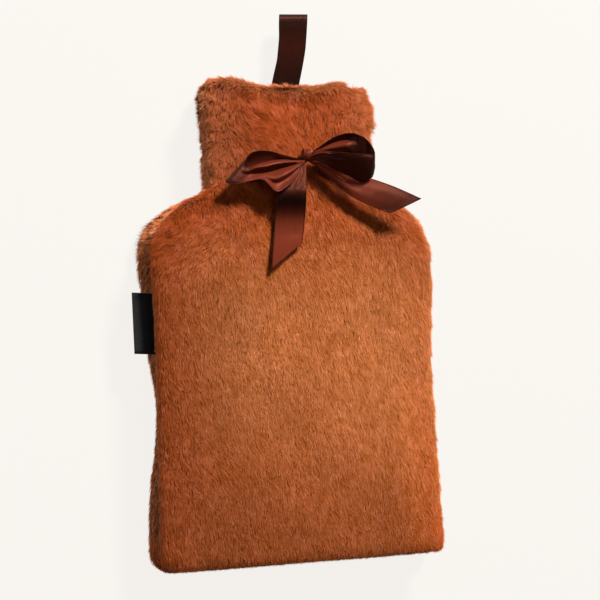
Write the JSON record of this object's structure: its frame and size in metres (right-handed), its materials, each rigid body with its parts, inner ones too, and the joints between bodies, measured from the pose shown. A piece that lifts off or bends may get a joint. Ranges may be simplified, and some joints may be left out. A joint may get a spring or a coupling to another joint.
{
  "type": "hot water bottle cover",
  "caption": "Plush faux-fur cover for a hot water bottle, open at the neck, with a ribbon hanging loop, a satin bow and a woven side label, lying on its back.",
  "frame": {"origin": "middle of the flat of the back panel, on the surface the cover lies on", "axes": "+Z out of the front face, +Y from the foot to the open neck, +X to the right seen from the front with the neck up"},
  "size_m": [0.2268, 0.4075, 0.0715],
  "materials": {
    "plush_fur": "chestnut plush faux fur, short soft pile brushed towards the foot",
    "satin_ribbon": "dark brown satin ribbon with a soft sheen",
    "woven_label": "plain black woven label"
  },
  "bodies": {
    "root": {"front_panel": "plush_fur", "back_panel": "plush_fur", "hanging_loop": "satin_ribbon", "bow_loop_left": "satin_ribbon", "bow_loop_right": "satin_ribbon", "bow_knot": "satin_ribbon", "bow_tail_left": "satin_ribbon", "bow_tail_right": "satin_ribbon", "side_label": "woven_label"}
  },
  "joints": []
}
